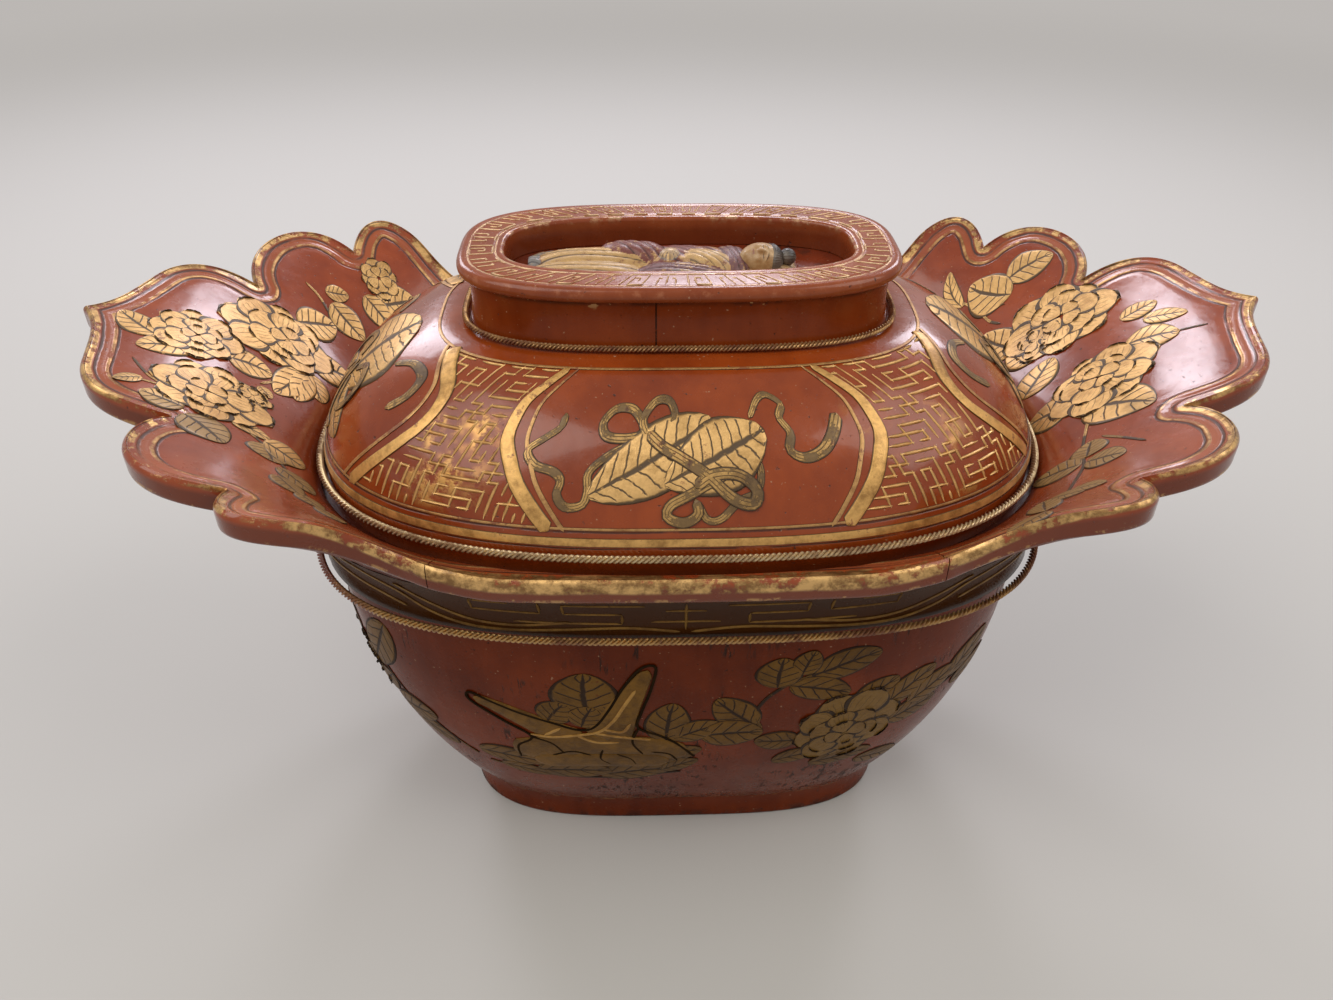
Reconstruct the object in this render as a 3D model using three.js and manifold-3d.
// Covered rice pot in lacquered wood: a stave-built bowl on a low foot, with a lobed wing
// at each end to lift it by, and a domed stave-built lid whose oval neck holds a carved
// reclining figure. Twisted wire hoops bind the bowl, the lid and the neck.
// Millimetres, +Z up, +X towards the right wing, origin on the ground under the middle.

import * as THREE from 'three';
import { mergeVertices } from 'three/addons/utils/BufferGeometryUtils.js';
import Module from 'manifold-3d';

// Every oval here is |x/a|^e + |y/b|^e = 1: e is 2 on an ellipse, and more is squarer.

// Clearances
const TOUCH_GAP = 0.3;
const FLANGE_CLEARANCE = 1;
const LID_CLEARANCE = 3.5;

// Foot
const FOOT = { a: 99, b: 62, e: 3.5 };
const FOOT_HEIGHT = 15;
const FOOT_WIDTH = 18;
const FOOT_CHAMFER = 1.2;

// Bowl
const BOWL_STAVES = 16;
const BOWL_GIRTH = { a: 143.2, b: 92.6, e: 2.9 };
const BOWL_OVERHANG = 1;
const BOWL_WALL = 9.5;
const BOWL_RISE = 133;
const BOWL_BULGE = 2.2;
const COLLAR_RISE = 21;
const COLLAR_STEP = 4;
const COLLAR_STEP_DROP = 3;
const COLLAR_FLARE = 3.4;
const COLLAR_HOLLOW = 1.2;
const FLOOR_THICKNESS = 10;
const SEAT_THICKNESS = 4.7;

// Wings and rails round the mouth
const MOUTH_INSET = { a: 5.6, b: 1.7 };
const MOUTH_SQUARENESS = 2.64;
const MOUTH_RISE = 5;
const RAIL_HALF_LENGTH = 88;
const RAIL_DEPTH = 6.7;
const RAIL_SWELL = 1.5;
const RAIL_SWELL_SPREAD = 5;
const RIM_THICKNESS = 10.5;
const RIM_ROUND = 2.5;
const RIM_SKIRT = 3.5;
const WING_REACH = 85;
const WING_RISE = 75;
const WING_SPREAD = 60;
const RAIL_RISE = 20;
const RISE_START_X = 60;
const RISE_FULL_X = 125;

// Wing outline: turning points measured from the corner of the box round the mouth
const SHOULDER = { x: 72.5, y: -64.3 };
const FIRST_NOTCH = { x: 38, y: -43.5 };
const SECOND_NOTCH = { x: 5.5, y: -0.5 };
const FRONT_CORNER = { x: -11, y: 22 };
const RAIL_BLEND = { x: -48 };

// Handles that bend the outline as it leaves one turning point and arrives at the next
const FLANK_LEAVES = { x: -8, y: 9 };
const FLANK_ARRIVES = { x: 3.5, y: -14 };
const MIDDLE_LOBE_LEAVES = { x: -3.5, y: 18 };
const MIDDLE_LOBE_ARRIVES = { x: 20, y: 5 };
const OUTER_LOBE_LEAVES = { x: 14, y: 21 };
const OUTER_LOBE_ARRIVES = { x: 29.5, y: 15 };
const CORNER_LOBE_LEAVES = { x: 0.5, y: 14 };
const CORNER_LOBE_ARRIVES = { x: 12, y: 2.5 };
const RAIL_RUN_LEAVES = { x: -14, y: -3 };
const RAIL_RUN_ARRIVES = { x: 20, y: 0 };

// Lid
const LID_STAVES = 12;
const LID_WALL = 9.5;
const LID_SKIRT = 12;
const LID_TUCK = 0.8;
const DOME_RISE = 48.4;
const DOME_FULLNESS = 1.63;
const DOME_EDGE_ANGLE = THREE.MathUtils.degToRad(62);
const CROWN_THICKNESS = 9;
const FLANGE_WALL = 6;
const FLANGE_DROP = 6;
const FLANGE_RISE = 12;

// Neck and its top
const NECK = { a: 80, b: 39.5, e: 3.1 };
const NECK_SHOULDER = 2.3;
const NECK_HEIGHT = 18.7;
const NECK_WALL = 8;
const NECK_HOLLOW = 1.2;
const NECK_SEAM_OFFSET = 9.5;
const TOP_OVERHANG = 3;
const TOP_THICKNESS = 5.7;
const TOP_FACE_WIDTH = 17.5;
const TOP_ROUND = 1.3;
const RECESS_DEPTH = 11;

// Carved figure, lying along X with its head to +X
const FIGURE_LENGTH = 104;
const FIGURE_WIDTH = 34;
const FIGURE_HEIGHT = 9;
const FIGURE_OFFSET = -6;
const PLINTH_THICKNESS = 1.5;

// Twisted wire hoops: diameter, and height above the piece's lower edge
const BOWL_WIRE = 3.5;
const LID_WIRE = 3.5;
const LID_WIRE_HEIGHT = 10.5;
const NECK_WIRE = 2.9;
const NECK_WIRE_HEIGHT = 1.7;
const WIRE_SIDES = 6;

// Facets
const STEPS_PER_STAVE = 4;
const NECK_STEPS = 40;
const WING_STEPS = [4, 4, 6, 4, 4, 2];
const RAIL_STEPS = 14;
const RIM_UPPER_PARTS = [0, 0.2, 0.45, 0.72, 1];
const RIM_UNDER_PARTS = [0, 0.35, 0.7];
const STAVE_OUTSIDE_STEPS = 6;
const STAVE_INSIDE_STEPS = 4;
const COLLAR_STEPS = 2;
const DOME_STEPS = 5;
const CROWN_STEPS = 3;
const NECK_WALL_STEPS = 4;

// Ovals

const inset = (oval, depth) => ({ ...oval, a: oval.a - depth, b: oval.b - depth });
const grow = (oval, depth) => inset(oval, -depth);
const at = (oval, z) => ({ ...oval, z });

function radiusAt({ a, b, e }, angle) {
  const x = Math.abs(Math.cos(angle)) / a;
  const y = Math.abs(Math.sin(angle)) / b;
  return (x ** e + y ** e) ** (-1 / e);
}

function ovalPoint(ring, angle) {
  const radius = radiusAt(ring, angle);
  return new THREE.Vector3(radius * Math.cos(angle), radius * Math.sin(angle), ring.z ?? 0);
}

// Angles that divide the oval's edge into equal lengths, from angle zero
function evenAngles(oval, count) {
  const fine = 1440;
  const lengths = [0];
  for (let i = 1; i <= fine; i++) {
    const before = ovalPoint(oval, (2 * Math.PI * (i - 1)) / fine);
    const after = ovalPoint(oval, (2 * Math.PI * i) / fine);
    lengths.push(lengths[i - 1] + before.distanceTo(after));
  }
  const angles = [];
  let step = 0;
  for (let k = 0; k < count; k++) {
    const wanted = (lengths[fine] * k) / count;
    while (lengths[step + 1] < wanted) step++;
    const part = (wanted - lengths[step]) / (lengths[step + 1] - lengths[step]);
    angles.push((2 * Math.PI * (step + part)) / fine);
  }
  return angles;
}

// Evenly spaced values from one to the other, both included
function spaced(from, to, count) {
  return Array.from({ length: count + 1 }, (_, i) => THREE.MathUtils.lerp(from, to, i / count));
}

// Solids

function signedVolume(points, triangles) {
  let volume = 0;
  const cross = new THREE.Vector3();
  for (const [i, j, k] of triangles) {
    volume += points[i].dot(cross.crossVectors(points[j], points[k])) / 6;
  }
  return volume;
}

// Triangles over a flat closed section, wound as its points run
function capTriangles(section) {
  const normal = new THREE.Vector3();
  const cross = new THREE.Vector3();
  section.forEach((point, i) => {
    normal.add(cross.crossVectors(point, section[(i + 1) % section.length]));
  });
  normal.normalize();
  const across = section[1].clone().sub(section[0]);
  across.addScaledVector(normal, -across.dot(normal)).normalize();
  const up = new THREE.Vector3().crossVectors(normal, across);
  const flat = section.map((point) => new THREE.Vector2(point.dot(across), point.dot(up)));
  return THREE.ShapeUtils.triangulateShape(flat, []).map(([i, j, k]) => {
    const turn = flat[j].clone().sub(flat[i]).cross(flat[k].clone().sub(flat[i]));
    return turn > 0 ? [i, j, k] : [i, k, j];
  });
}

// A solid through closed sections of equal length: a full loop, or capped at both ends
function loft(sections, loop) {
  const size = sections[0].length;
  const spans = loop ? sections.length : sections.length - 1;
  const points = sections.flat();
  const triangles = [];
  for (let i = 0; i < spans; i++) {
    const here = i * size;
    const next = ((i + 1) % sections.length) * size;
    for (let j = 0; j < size; j++) {
      const k = (j + 1) % size;
      triangles.push([here + j, next + j, next + k], [here + j, next + k, here + k]);
    }
  }
  if (!loop) {
    const last = points.length - size;
    triangles.push(...capTriangles(sections[0]));
    capTriangles(sections.at(-1)).forEach(([i, j, k]) => {
      triangles.push([last + i, last + k, last + j]);
    });
  }
  const outward = signedVolume(points, triangles) > 0;
  const wound = outward ? triangles : triangles.map(([i, j, k]) => [i, k, j]);
  const geometry = new THREE.BufferGeometry().setFromPoints(points);
  geometry.setIndex(wound.flat());
  geometry.computeVertexNormals();
  return geometry;
}

// A full ring whose section is the list of ovals
function ringSolid(profile, angles) {
  return loft(angles.map((angle) => profile.map((ring) => ovalPoint(ring, angle))), true);
}

// A length of such a ring from the first angle to the last, with its end faces drawn back
// by half the touching gap from the seams
function segmentSolid(profile, angles) {
  const sections = angles.map((angle, i) => {
    const side = (i === 0) - (i === angles.length - 1);
    return profile.map((ring) => {
      const drawback = Math.asin(TOUCH_GAP / 2 / radiusAt(ring, angle));
      return ovalPoint(ring, angle + side * drawback);
    });
  });
  return loft(sections, false);
}

// A solid block through stacked ovals
function stackSolid(rings, angles) {
  return loft(rings.map((ring) => angles.map((angle) => ovalPoint(ring, angle))), false);
}

function hoopSolid(oval, z, diameter, angles) {
  const centre = grow(oval, TOUCH_GAP + diameter / 2);
  const profile = [];
  for (let side = 0; side < WIRE_SIDES; side++) {
    const turn = (2 * Math.PI * side) / WIRE_SIDES;
    profile.push(at(grow(centre, (diameter / 2) * Math.cos(turn)), z + (diameter / 2) * Math.sin(turn)));
  }
  return ringSolid(profile, angles);
}

// Staves stand between seams that lie half a stave off the axes
function staveAngles(angles, stave) {
  const start = stave * STEPS_PER_STAVE + STEPS_PER_STAVE / 2;
  const list = [];
  for (let i = start; i <= start + STEPS_PER_STAVE; i++) {
    const turns = Math.floor(i / angles.length);
    list.push(angles[i % angles.length] + 2 * Math.PI * turns);
  }
  return list;
}

// Heights and fits that follow from the sizes above

const BOWL_FOOT_Z = FOOT_HEIGHT + TOUCH_GAP;
const GIRTH_Z = BOWL_FOOT_Z + BOWL_RISE;
const STAVE_TOP_Z = GIRTH_Z + COLLAR_RISE;
const SEAT_TOP_Z = STAVE_TOP_Z + TOUCH_GAP + SEAT_THICKNESS;
const MOUTH_Z = SEAT_TOP_Z + MOUTH_RISE;
const LID_Z = SEAT_TOP_Z + TOUCH_GAP;
const BOWL_BASE = grow(FOOT, BOWL_OVERHANG);
const BOWL_TOP = grow(BOWL_GIRTH, COLLAR_STEP + COLLAR_FLARE);
const MOUTH = {
  a: BOWL_TOP.a - MOUTH_INSET.a,
  b: BOWL_TOP.b - MOUTH_INSET.b,
  e: MOUTH_SQUARENESS,
};
const LID = inset(MOUTH, LID_CLEARANCE);
const LID_INSIDE = inset(LID, LID_WALL);
const FLANGE = inset(LID_INSIDE, TOUCH_GAP);
const SEAT_OPENING = grow(FLANGE, FLANGE_CLEARANCE);
const DOME_TOP = grow(NECK, NECK_SHOULDER);
const DOME_TOP_Z = LID_SKIRT + DOME_RISE;
const NECK_Z = DOME_TOP_Z + TOUCH_GAP;
const NECK_TOP_Z = NECK_Z + NECK_HEIGHT;
const TOP_Z = NECK_TOP_Z + TOUCH_GAP + TOP_THICKNESS;
const TOP = grow(NECK, TOP_OVERHANG);
const RECESS = inset(TOP, TOP_FACE_WIDTH);
const RECESS_Z = TOP_Z - RECESS_DEPTH;
const PANEL_Z = RECESS_Z - TOUCH_GAP;

const bowlAngles = evenAngles(BOWL_TOP, BOWL_STAVES * STEPS_PER_STAVE);
const lidAngles = evenAngles(LID, LID_STAVES * STEPS_PER_STAVE);
const neckAngles = evenAngles(NECK, NECK_STEPS);

// Finishes
const lacquer = (colour) => new THREE.MeshStandardMaterial({ color: colour, roughness: 0.32 });
const gilt = (colour) => new THREE.MeshStandardMaterial({ color: colour, roughness: 0.4, metalness: 0.6 });
const WING_RED = 0x9c3a24;
const BOWL_RED = 0x7c2a1a;
const INSIDE_RED = 0x5e2016;
const WIRE_GOLD = 0xb59a62;
const CARVED_GOLD = 0x9a7a4c;

function piece(name, geometry, material) {
  const mesh = new THREE.Mesh(geometry, material);
  mesh.name = name;
  return mesh;
}

// Bowl

// The bowl's curve at a height: full up to the girth, then gently flaring
function bowlCurve(z) {
  if (z > GIRTH_Z) return at(grow(BOWL_GIRTH, (COLLAR_FLARE * (z - GIRTH_Z)) / COLLAR_RISE), z);
  const spread = 1 - (1 - (z - BOWL_FOOT_Z) / BOWL_RISE) ** BOWL_BULGE;
  return {
    a: THREE.MathUtils.lerp(BOWL_BASE.a, BOWL_GIRTH.a, spread),
    b: THREE.MathUtils.lerp(BOWL_BASE.b, BOWL_GIRTH.b, spread),
    e: THREE.MathUtils.lerp(BOWL_BASE.e, BOWL_GIRTH.e, spread),
    z,
  };
}

// Outside of the collar, which stands proud of the curve and is hollowed
function collarOutside(z) {
  const part = (z - GIRTH_Z) / COLLAR_RISE;
  return grow(bowlCurve(z), COLLAR_STEP - COLLAR_HOLLOW * 4 * part * (1 - part));
}

// Inside of the bowl: the wall keeps its thickness square to its slope
function bowlInside(z) {
  const step = 0.5;
  const low = Math.max(z - step, BOWL_FOOT_Z);
  const high = Math.min(z + step, STAVE_TOP_Z);
  const slope = (bowlCurve(high).a - bowlCurve(low).a) / (high - low);
  return inset(bowlCurve(z), BOWL_WALL * Math.hypot(1, slope));
}

function bowlStave(stave) {
  const floorTop = BOWL_FOOT_Z + FLOOR_THICKNESS;
  const profile = [
    ...spaced(BOWL_FOOT_Z, GIRTH_Z - COLLAR_STEP_DROP, STAVE_OUTSIDE_STEPS).map(bowlCurve),
    ...spaced(GIRTH_Z, STAVE_TOP_Z, COLLAR_STEPS).map(collarOutside),
    ...[STAVE_TOP_Z, ...spaced(GIRTH_Z, floorTop, STAVE_INSIDE_STEPS), BOWL_FOOT_Z].map(bowlInside),
  ];
  return segmentSolid(profile, staveAngles(bowlAngles, stave));
}

function footRing() {
  const inner = inset(FOOT, FOOT_WIDTH);
  const profile = [
    at(inner, 0),
    at(inset(FOOT, FOOT_CHAMFER), 0),
    at(FOOT, FOOT_CHAMFER),
    at(FOOT, FOOT_HEIGHT),
    at(inner, FOOT_HEIGHT),
  ];
  return ringSolid(profile, bowlAngles);
}

function floorBoard() {
  const rings = [BOWL_FOOT_Z, BOWL_FOOT_Z + FLOOR_THICKNESS].map((z) => inset(bowlInside(z), TOUCH_GAP));
  return stackSolid(rings, bowlAngles);
}

function seatRing() {
  const low = STAVE_TOP_Z + TOUCH_GAP;
  const profile = [
    at(SEAT_OPENING, low),
    at(BOWL_TOP, low),
    at(BOWL_TOP, SEAT_TOP_Z),
    at(SEAT_OPENING, SEAT_TOP_Z),
  ];
  return ringSolid(profile, bowlAngles);
}

// Rim: the wings and rails share one section, swept from the mouth out to the outline

// Height of the upper surface over a point this far out from the mouth
function rimHeight(point, reach) {
  const share = THREE.MathUtils.smoothstep(Math.abs(point.x), RISE_START_X, RISE_FULL_X);
  const rise = THREE.MathUtils.lerp(RAIL_RISE, WING_RISE, share);
  return MOUTH_Z + rise * (1 - Math.exp(-reach / WING_SPREAD));
}

// Where the line from the mouth to the outline leaves an oval
function leavesOval({ a, b, e }, from, to) {
  let inside = 0;
  let outside = 1;
  for (let i = 0; i < 30; i++) {
    const middle = (inside + outside) / 2;
    const point = from.clone().lerp(to, middle);
    const isInside = (Math.abs(point.x) / a) ** e + (Math.abs(point.y) / b) ** e < 1;
    if (isInside) inside = middle;
    else outside = middle;
  }
  return from.clone().lerp(to, inside);
}

// Closed section over the line from a mouth point to an outline point. It laps over the
// seat ring, and its skirt hangs outside that ring.
function rimSection(mouthPoint, edgePoint) {
  const reach = mouthPoint.distanceTo(edgePoint);
  const shoulderPart = 1 - RIM_ROUND / reach;
  const onLine = (part) => mouthPoint.clone().lerp(edgePoint, part);
  const lift = (point, z) => new THREE.Vector3(point.x, point.y, z);
  const above = (point) => rimHeight(point, point.distanceTo(mouthPoint));
  const skirtPoint = leavesOval(grow(BOWL_TOP, TOUCH_GAP), mouthPoint, edgePoint);
  const shoulder = onLine(shoulderPart);
  const edgeTop = above(edgePoint);
  const section = [];
  for (const part of RIM_UPPER_PARTS) {
    const point = onLine(part * shoulderPart);
    section.push(lift(point, above(point)));
  }
  section.push(lift(edgePoint, edgeTop - RIM_ROUND));
  section.push(lift(edgePoint, edgeTop - RIM_THICKNESS + RIM_ROUND));
  for (const part of RIM_UNDER_PARTS) {
    const point = shoulder.clone().lerp(skirtPoint, part);
    section.push(lift(point, above(point) - RIM_THICKNESS));
  }
  section.push(lift(skirtPoint, SEAT_TOP_Z + TOUCH_GAP - RIM_SKIRT));
  section.push(lift(skirtPoint, SEAT_TOP_Z + TOUCH_GAP));
  section.push(lift(mouthPoint, SEAT_TOP_Z + TOUCH_GAP));
  return section;
}

// Outer edge of the rail and of the wing's end beside it, with a small swell at the seam
function railEdge(x) {
  const swell = RAIL_SWELL * Math.exp(-(((Math.abs(x) - RAIL_HALF_LENGTH) / RAIL_SWELL_SPREAD) ** 2));
  return new THREE.Vector2(x, MOUTH.b + RAIL_DEPTH + swell);
}

function mouthEdge(x) {
  return new THREE.Vector2(x, MOUTH.b * (1 - (Math.abs(x) / MOUTH.a) ** MOUTH.e) ** (1 / MOUTH.e));
}

// Outline of half a wing, from its point on the X axis to the rail: a hollow flank, the
// turn of the middle lobe, two more lobes with notches between them, and a hollow run
// down to the rail
function wingOutline() {
  const fromCorner = ({ x, y }) => new THREE.Vector2(MOUTH.a + x, MOUTH.b + y);
  const tip = new THREE.Vector2(MOUTH.a + WING_REACH, 0);
  const shoulder = fromCorner(SHOULDER);
  const firstNotch = fromCorner(FIRST_NOTCH);
  const secondNotch = fromCorner(SECOND_NOTCH);
  const corner = fromCorner(FRONT_CORNER);
  const blend = railEdge(MOUTH.a + RAIL_BLEND.x);
  const seam = railEdge(RAIL_HALF_LENGTH + TOUCH_GAP / 2);
  const curve = (from, pull, push, to) => {
    const leave = new THREE.Vector2(from.x + pull.x, from.y + pull.y);
    const arrive = new THREE.Vector2(to.x + push.x, to.y + push.y);
    return new THREE.CubicBezierCurve(from, leave, arrive, to);
  };
  const curves = [
    curve(tip, FLANK_LEAVES, FLANK_ARRIVES, shoulder),
    curve(shoulder, MIDDLE_LOBE_LEAVES, MIDDLE_LOBE_ARRIVES, firstNotch),
    curve(firstNotch, OUTER_LOBE_LEAVES, OUTER_LOBE_ARRIVES, secondNotch),
    curve(secondNotch, CORNER_LOBE_LEAVES, CORNER_LOBE_ARRIVES, corner),
    curve(corner, RAIL_RUN_LEAVES, RAIL_RUN_ARRIVES, blend),
    new THREE.LineCurve(blend, seam),
  ];
  const points = [tip];
  curves.forEach((part, i) => points.push(...part.getPoints(WING_STEPS[i]).slice(1)));
  return points;
}

// Mouth points spaced along the mouth as the outline points are along the outline
function matchingMouthPoints(outline) {
  const end = mouthEdge(outline.at(-1).x);
  const edge = spaced(0, Math.atan2(end.y, end.x), 200).map((angle) => {
    const point = ovalPoint(MOUTH, angle);
    return new THREE.Vector2(point.x, point.y);
  });
  const mouth = new THREE.CurvePath();
  edge.slice(1).forEach((point, i) => mouth.add(new THREE.LineCurve(edge[i], point)));
  const lengths = [0];
  outline.slice(1).forEach((point, i) => lengths.push(lengths[i] + point.distanceTo(outline[i])));
  return lengths.map((length) => mouth.getPoint(length / lengths.at(-1)));
}

function wing() {
  const outline = wingOutline();
  const mouth = matchingMouthPoints(outline);
  const half = outline.map((point, i) => [mouth[i], point]);
  const mirrored = half.slice(1).reverse().map((pair) => pair.map((p) => new THREE.Vector2(p.x, -p.y)));
  const sections = [...mirrored, ...half].map(([mouthPoint, edgePoint]) => rimSection(mouthPoint, edgePoint));
  return loft(sections, false);
}

function rail() {
  const end = RAIL_HALF_LENGTH - TOUCH_GAP / 2;
  return loft(spaced(end, -end, RAIL_STEPS).map((x) => rimSection(mouthEdge(x), railEdge(x))), false);
}

// Lid, in its own frame with z = 0 at its lower edge

// A ring of the dome, from its edge at angle 0 to the neck at a right angle, sunk square
// to the surface by a depth
function domeRing(angle, depth = 0) {
  const spreadA = LID.a - DOME_TOP.a;
  const spreadB = LID.b - DOME_TOP.b;
  const power = 2 / DOME_FULLNESS;
  const part = Math.max(Math.cos(angle), 0) ** power;
  const outwards = DOME_RISE * Math.max(Math.cos(angle), 0) ** (2 - power);
  const upwards = ((spreadA + spreadB) / 2) * Math.sin(angle) ** (2 - power);
  const length = Math.hypot(outwards, upwards);
  return {
    a: DOME_TOP.a + spreadA * part - (depth * outwards) / length,
    b: DOME_TOP.b + spreadB * part - (depth * outwards) / length,
    e: THREE.MathUtils.lerp(DOME_TOP.e, LID.e, part),
    z: LID_SKIRT + DOME_RISE * Math.sin(angle) ** power - (depth * upwards) / length,
  };
}

function lidStave(stave) {
  const turns = spaced(0, DOME_EDGE_ANGLE, DOME_STEPS);
  const profile = [
    at(inset(LID, LID_TUCK), 0),
    at(LID, LID_SKIRT / 2),
    ...turns.map((angle) => domeRing(angle)),
    ...turns.toReversed().map((angle) => domeRing(angle, LID_WALL)),
    at(LID_INSIDE, 0),
  ];
  return segmentSolid(profile, staveAngles(lidAngles, stave));
}

function crownBoard() {
  const edge = DOME_EDGE_ANGLE + TOUCH_GAP / DOME_RISE;
  const top = Math.PI / 2;
  const outside = spaced(edge, top, CROWN_STEPS).map((angle) => domeRing(angle));
  const rings = [domeRing(edge, CROWN_THICKNESS), ...outside];
  return stackSolid(rings, lidAngles);
}

function lidFlange() {
  const inner = inset(FLANGE, FLANGE_WALL);
  const profile = [
    at(inner, -FLANGE_DROP),
    at(inset(FLANGE, FLANGE_WALL / 3), -FLANGE_DROP),
    at(FLANGE, -FLANGE_DROP + FLANGE_WALL / 3),
    at(FLANGE, FLANGE_RISE),
    at(inner, FLANGE_RISE),
  ];
  return ringSolid(profile, lidAngles);
}

// Half of the neck's wall. The two seams lie a little to the left of the middle.
function neckHalf(isLeft) {
  const seam = Math.PI / 2 + Math.atan(NECK_SEAM_OFFSET / NECK.b);
  const from = isLeft ? seam : -seam;
  const to = isLeft ? 2 * Math.PI - seam : seam;
  const margin = Math.PI / NECK_STEPS / 4;
  const turned = neckAngles.map((angle) => (!isLeft && angle > Math.PI ? angle - 2 * Math.PI : angle));
  const between = turned.filter((angle) => angle > from + margin && angle < to - margin);
  const angles = [from, ...between.sort((one, other) => one - other), to];
  const profile = [
    ...spaced(0, 1, NECK_WALL_STEPS).map((part) => {
      return at(inset(NECK, NECK_HOLLOW * 4 * part * (1 - part)), NECK_Z + NECK_HEIGHT * part);
    }),
    at(inset(NECK, NECK_WALL), NECK_TOP_Z),
    at(inset(NECK, NECK_WALL), NECK_Z),
  ];
  return segmentSolid(profile, angles);
}

function panelBlock() {
  const oval = inset(NECK, NECK_WALL + TOUCH_GAP);
  return stackSolid([at(oval, NECK_Z), at(oval, PANEL_Z)], neckAngles);
}

// Flat oval ring on the neck, with a lining that drops inside the neck to the panel
function topRing() {
  const flange = NECK_TOP_Z + TOUCH_GAP;
  const lining = inset(NECK, NECK_WALL + TOUCH_GAP);
  const profile = [
    at(RECESS, RECESS_Z),
    at(lining, RECESS_Z),
    at(lining, flange),
    at(inset(TOP, TOP_ROUND), flange),
    at(TOP, flange + TOP_ROUND),
    at(TOP, TOP_Z - TOP_ROUND),
    at(inset(TOP, TOP_ROUND), TOP_Z),
    at(grow(RECESS, TOP_ROUND / 2), TOP_Z),
    at(RECESS, TOP_Z - TOP_ROUND / 2),
  ];
  return ringSolid(profile, neckAngles);
}

// Carved figure on a thin plinth: swelling forms for the robe, trunk, arm, head and feet,
// joined and cut flat underneath
async function recliningFigure() {
  const wasm = await Module();
  wasm.setup();
  const solidOf = (geometry) => {
    const bare = geometry.clone();
    bare.deleteAttribute('normal');
    bare.deleteAttribute('uv');
    const merged = mergeVertices(bare);
    return new wasm.Manifold(new wasm.Mesh({
      numProp: 3,
      vertProperties: new Float32Array(merged.attributes.position.array),
      triVerts: new Uint32Array(merged.index.array),
    }));
  };
  const half = { x: FIGURE_LENGTH / 2, y: FIGURE_WIDTH / 2, z: FIGURE_HEIGHT };
  // Centre and half sizes as parts of the figure's own half length, half width and height
  const forms = [
    { at: [-0.42, 0, 0.1], size: [0.5, 0.8, 0.6] },
    { at: [-0.1, 0.1, 0.15], size: [0.42, 0.85, 0.75] },
    { at: [0.3, 0.05, 0.1], size: [0.36, 0.85, 0.85] },
    { at: [0.82, 0.2, 0.25], size: [0.17, 0.46, 0.7] },
    { at: [0.42, -0.55, 0.2], size: [0.3, 0.3, 0.55] },
    { at: [-0.86, 0.1, 0.1], size: [0.13, 0.5, 0.45] },
  ];
  const plinth = stackSolid(
    [
      { a: half.x, b: half.y, e: 4, z: 0 },
      { a: half.x - PLINTH_THICKNESS, b: half.y - PLINTH_THICKNESS, e: 4, z: PLINTH_THICKNESS },
    ],
    evenAngles({ a: half.x, b: half.y, e: 4 }, 28),
  );
  let carving = solidOf(plinth);
  for (const form of forms) {
    const ball = new THREE.SphereGeometry(1, 12, 8);
    ball.scale(form.size[0] * half.x, form.size[1] * half.y, form.size[2] * half.z);
    ball.translate(form.at[0] * half.x, form.at[1] * half.y, form.at[2] * half.z);
    carving = carving.add(solidOf(ball));
  }
  const below = new THREE.BoxGeometry(4 * half.x, 4 * half.y, 2 * half.z);
  below.translate(0, 0, -half.z);
  const mesh = carving.subtract(solidOf(below)).getMesh();
  const geometry = new THREE.BufferGeometry();
  geometry.setAttribute('position', new THREE.BufferAttribute(mesh.vertProperties, 3));
  geometry.setIndex(new THREE.BufferAttribute(mesh.triVerts, 1));
  geometry.computeVertexNormals();
  return geometry;
}

// Assembly

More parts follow.
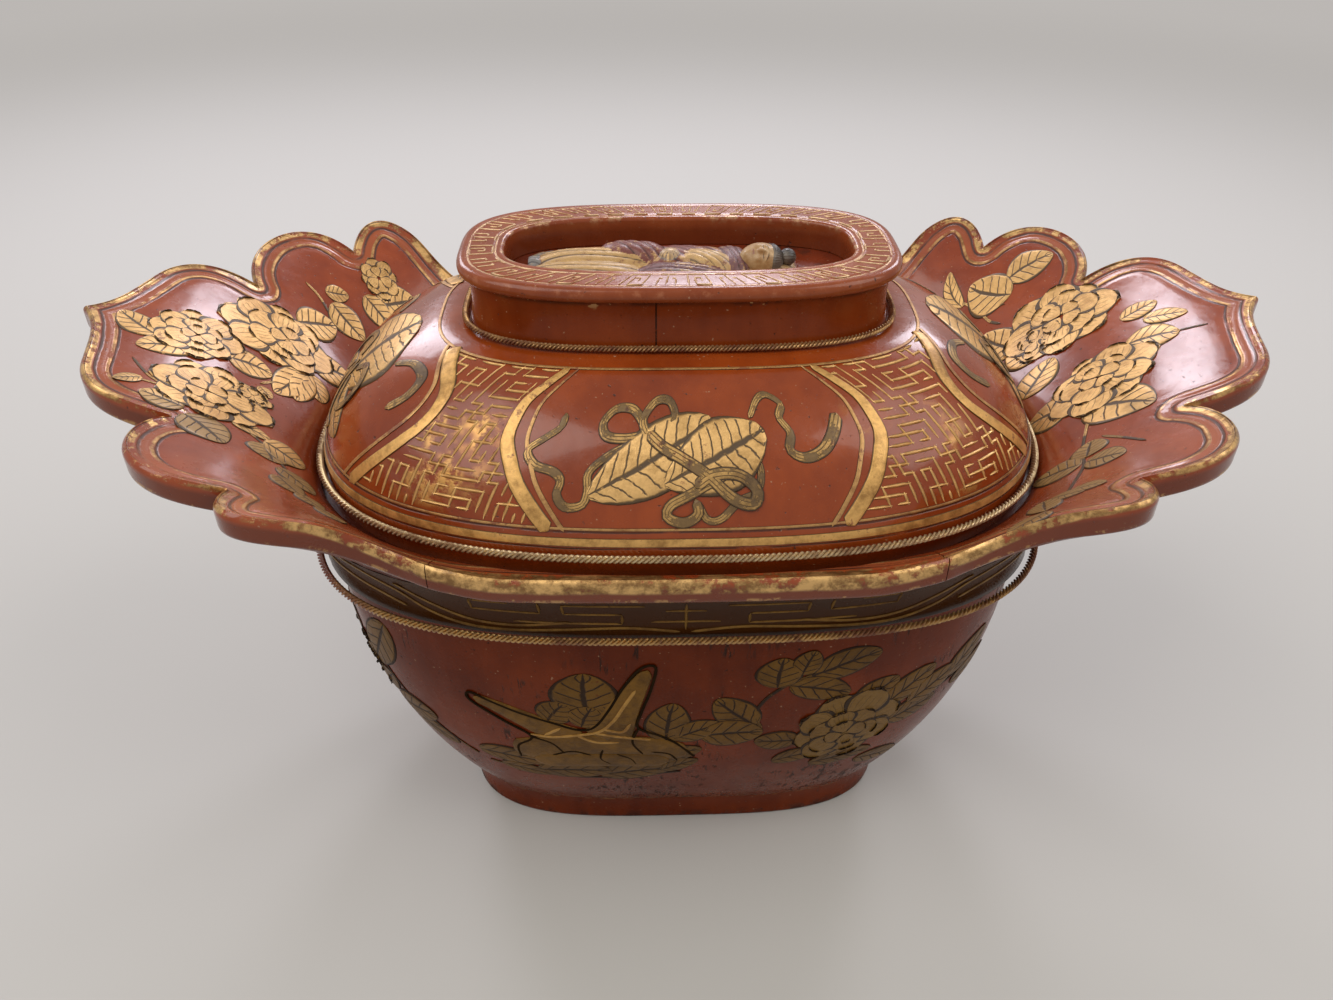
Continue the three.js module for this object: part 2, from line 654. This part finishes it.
const bowl = new THREE.Group();
bowl.add(piece('foot_ring', footRing(), lacquer(BOWL_RED)));
bowl.add(piece('floor_board', floorBoard(), lacquer(INSIDE_RED)));
for (let stave = 0; stave < BOWL_STAVES; stave++) {
  bowl.add(piece(`bowl_stave_${stave + 1}`, bowlStave(stave), lacquer(BOWL_RED)));
}
const bowlHoop = hoopSolid(grow(BOWL_GIRTH, COLLAR_STEP), GIRTH_Z, BOWL_WIRE, bowlAngles);
bowl.add(piece('bowl_hoop', bowlHoop, gilt(WIRE_GOLD)));
bowl.add(piece('seat_ring', seatRing(), lacquer(INSIDE_RED)));
const rightWing = piece('right_wing', wing(), lacquer(WING_RED));
const leftWing = piece('left_wing', wing(), lacquer(WING_RED));
leftWing.rotation.z = Math.PI;
const backRail = piece('back_rail', rail(), lacquer(WING_RED));
const frontRail = piece('front_rail', rail(), lacquer(WING_RED));
frontRail.rotation.z = Math.PI;
bowl.add(rightWing, leftWing, backRail, frontRail);

const lid = new THREE.Group();
lid.position.z = LID_Z;
for (let stave = 0; stave < LID_STAVES; stave++) {
  lid.add(piece(`lid_stave_${stave + 1}`, lidStave(stave), lacquer(WING_RED)));
}
lid.add(piece('lid_flange', lidFlange(), lacquer(INSIDE_RED)));
lid.add(piece('lid_hoop', hoopSolid(LID, LID_WIRE_HEIGHT, LID_WIRE, lidAngles), gilt(WIRE_GOLD)));
lid.add(piece('crown_board', crownBoard(), lacquer(WING_RED)));
lid.add(piece('neck_left', neckHalf(true), lacquer(BOWL_RED)));
lid.add(piece('neck_right', neckHalf(false), lacquer(BOWL_RED)));
const neckHoop = hoopSolid(NECK, NECK_Z + NECK_WIRE_HEIGHT, NECK_WIRE, neckAngles);
lid.add(piece('neck_hoop', neckHoop, gilt(WIRE_GOLD)));
lid.add(piece('panel_block', panelBlock(), lacquer(BOWL_RED)));
lid.add(piece('top_ring', topRing(), lacquer(WING_RED)));
const figure = piece('reclining_figure', await recliningFigure(), gilt(CARVED_GOLD));
figure.position.set(FIGURE_OFFSET, 0, RECESS_Z);
lid.add(figure);

const ricePot = new THREE.Group();
ricePot.add(bowl, lid);

export default ricePot;
